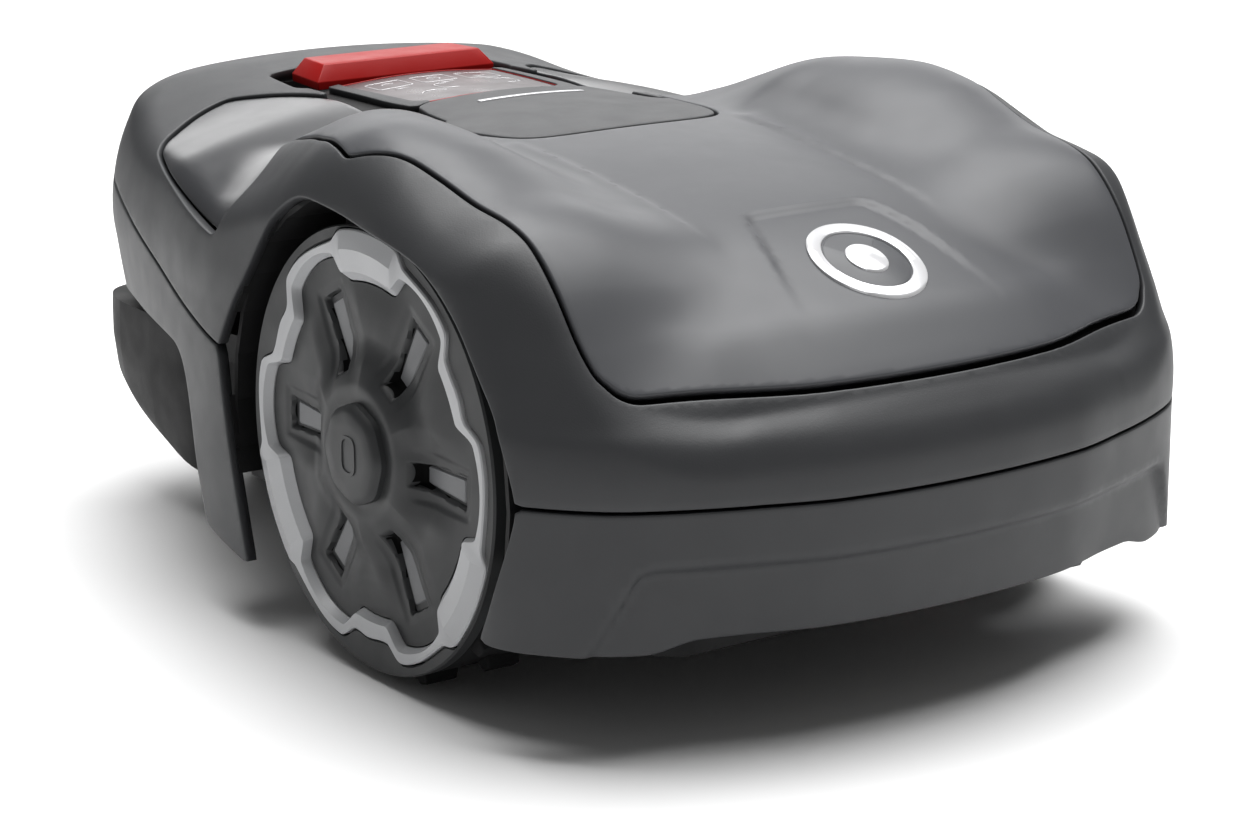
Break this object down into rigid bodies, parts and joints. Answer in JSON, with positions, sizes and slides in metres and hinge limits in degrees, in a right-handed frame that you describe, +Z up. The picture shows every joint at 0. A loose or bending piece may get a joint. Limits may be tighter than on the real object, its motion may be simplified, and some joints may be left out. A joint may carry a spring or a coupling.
{
  "type": "robotic lawn mower",
  "caption": "Low domed robotic lawn mower: floating shell with stop bar on a chassis, side drive wheels, tail casters and an adjustable pivoting-blade cutter.",
  "frame": {"origin": "on the ground under the middle of the machine's bounding box", "axes": "+Z up, -Y towards the nose, +X to the machine's left side seen from its tail"},
  "size_m": [0.36, 0.5501, 0.2322],
  "materials": {
    "body_plastic": "fine-textured dark grey moulded plastic",
    "hood_gloss": "semi-gloss metallic grey plastic",
    "side_gloss": "dark gloss plastic",
    "screen": "glossy printed touch panel",
    "red_plastic": "satin red plastic",
    "rocker_red": "red rocker",
    "badge_light": "light plastic badge",
    "black_plastic": "black moulded plastic",
    "seal_rubber": "black seal rubber",
    "caster_rubber": "hard rubber roller",
    "tyre_rubber": "black tyre rubber",
    "ring_plastic": "light grey plastic",
    "spoke_plastic": "dark grey plastic",
    "motor_steel": "motor can",
    "steel": "bright steel",
    "board": "green circuit board",
    "battery": "wrapped battery pack",
    "contact": "brass contact strip"
  },
  "bodies": {
    "chassis": {"chassis_tub": "black_plastic", "chassis_lid": "black_plastic", "chassis_seal": "seal_rubber", "tail_guard_left": "black_plastic", "tail_guard_right": "black_plastic", "battery_pack": "battery", "battery_cover": "black_plastic", "main_board": "board", "charge_contact_left": "contact", "charge_contact_right": "contact", "wheel_motor_left": "motor_steel", "wheel_motor_right": "motor_steel"},
    "floating_carriage": {"bump_carriage": "black_plastic"},
    "shell": {"upper_body": "body_plastic", "hood": "hood_gloss", "side_panel_left": "side_gloss", "side_panel_right": "side_gloss", "lower_bumper": "body_plastic", "rear_skirt": "body_plastic", "badge_plate": "badge_light", "display_panel": "screen", "button_tray": "black_plastic", "display_board": "board", "arch_liner_left": "black_plastic", "arch_liner_right": "black_plastic", "lift_socket_front": "black_plastic", "lift_socket_rear": "black_plastic"},
    "stop_button": {"stop_button": "red_plastic"},
    "drive_wheel_left": {"tyre_left": "tyre_rubber", "wheel_rim_left": "spoke_plastic", "wheel_band_left": "spoke_plastic", "trim_ring_left": "ring_plastic", "spoke_cover_left": "spoke_plastic", "hub_cap_left": "spoke_plastic", "wheel_axle_left": "steel"},
    "drive_wheel_right": {"tyre_right": "tyre_rubber", "wheel_rim_right": "spoke_plastic", "wheel_band_right": "spoke_plastic", "trim_ring_right": "ring_plastic", "spoke_cover_right": "spoke_plastic", "hub_cap_right": "spoke_plastic", "wheel_axle_right": "steel"},
    "caster_swivel_left": {"caster_fork_left": "black_plastic", "caster_pin_left": "steel"},
    "caster_swivel_right": {"caster_fork_right": "black_plastic", "caster_pin_right": "steel"},
    "caster_roller_left": {"caster_wheel_left": "caster_rubber"},
    "caster_roller_right": {"caster_wheel_right": "caster_rubber"},
    "cutting_carriage": {"cutting_carriage": "black_plastic", "cutting_motor": "motor_steel"},
    "blade_disc": {"blade_disc": "steel", "blade_screw_1": "steel", "blade_screw_2": "steel", "blade_screw_3": "steel"},
    "blade_1": {"blade_1": "steel"},
    "blade_2": {"blade_2": "steel"},
    "blade_3": {"blade_3": "steel"},
    "skid_plate": {"skid_plate": "black_plastic"},
    "height_dial": {"height_dial": "black_plastic"},
    "main_switch": {"main_switch": "rocker_red"}
  },
  "joints": [
    {"name": "bump_slide", "type": "slide", "parent": "chassis", "child": "floating_carriage", "axis": [0, 1, 0], "range_m": [-0.004, 0.004], "stiffness_N_per_m": 2000},
    {"name": "lift_slide", "type": "slide", "parent": "floating_carriage", "child": "shell", "axis": [0, 0, 1], "range_m": [0, 0.006]},
    {"name": "stop_press", "type": "slide", "parent": "shell", "child": "stop_button", "axis": [0, 0, 1], "range_m": [-0.004, 0], "stiffness_N_per_m": 600, "springref_m": 0.002},
    {"name": "drive_wheel_left_spin", "type": "hinge", "parent": "chassis", "child": "drive_wheel_left", "pos_m": [0.15, -0.088, 0.1], "axis": [1, 0, 0], "continuous": true},
    {"name": "caster_left_swivel", "type": "hinge", "parent": "chassis", "child": "caster_swivel_left", "pos_m": [0.048, 0.2, 0.09], "axis": [0, 0, 1], "continuous": true},
    {"name": "caster_left_roll", "type": "hinge", "parent": "caster_swivel_left", "child": "caster_roller_left", "pos_m": [0.048, 0.208, 0.032], "axis": [1, 0, 0], "continuous": true},
    {"name": "drive_wheel_right_spin", "type": "hinge", "parent": "chassis", "child": "drive_wheel_right", "pos_m": [-0.15, -0.088, 0.1], "axis": [1, 0, 0], "continuous": true},
    {"name": "caster_right_swivel", "type": "hinge", "parent": "chassis", "child": "caster_swivel_right", "pos_m": [-0.048, 0.2, 0.09], "axis": [0, 0, 1], "continuous": true},
    {"name": "caster_right_roll", "type": "hinge", "parent": "caster_swivel_right", "child": "caster_roller_right", "pos_m": [-0.048, 0.208, 0.032], "axis": [1, 0, 0], "continuous": true},
    {"name": "cutting_height", "type": "slide", "parent": "chassis", "child": "cutting_carriage", "axis": [0, 0, 1], "range_m": [-0.01, 0.015]},
    {"name": "height_dial_turn", "type": "hinge", "parent": "chassis", "child": "height_dial", "pos_m": [0, -0.112, 0.15], "axis": [0, 0, 1], "range_deg": [-120.1, 180.1]},
    {"name": "blade_disc_spin", "type": "hinge", "parent": "cutting_carriage", "child": "blade_disc", "pos_m": [0, 0, 0.03], "axis": [0, 0, 1], "continuous": true},
    {"name": "skid_plate_spin", "type": "hinge", "parent": "blade_disc", "child": "skid_plate", "pos_m": [0, 0, 0.026], "axis": [0, 0, 1], "continuous": true},
    {"name": "main_switch_rock", "type": "hinge", "parent": "chassis", "child": "main_switch", "pos_m": [0.078, -0.14, 0.0395], "axis": [1, 0, 0], "range_deg": [-5, 5]},
    {"name": "blade_1_swing", "type": "hinge", "parent": "blade_disc", "child": "blade_1", "pos_m": [0, 0.074, 0.029], "axis": [0, 0, 1], "continuous": true},
    {"name": "blade_2_swing", "type": "hinge", "parent": "blade_disc", "child": "blade_2", "pos_m": [-0.06409, -0.037, 0.029], "axis": [0, 0, 1], "continuous": true},
    {"name": "blade_3_swing", "type": "hinge", "parent": "blade_disc", "child": "blade_3", "pos_m": [0.06409, -0.037, 0.029], "axis": [0, 0, 1], "continuous": true}
  ],
  "couplings": [
    {"joint": "height_dial_turn", "follows": "cutting_height", "rad_per_m": 209.44}
  ]
}
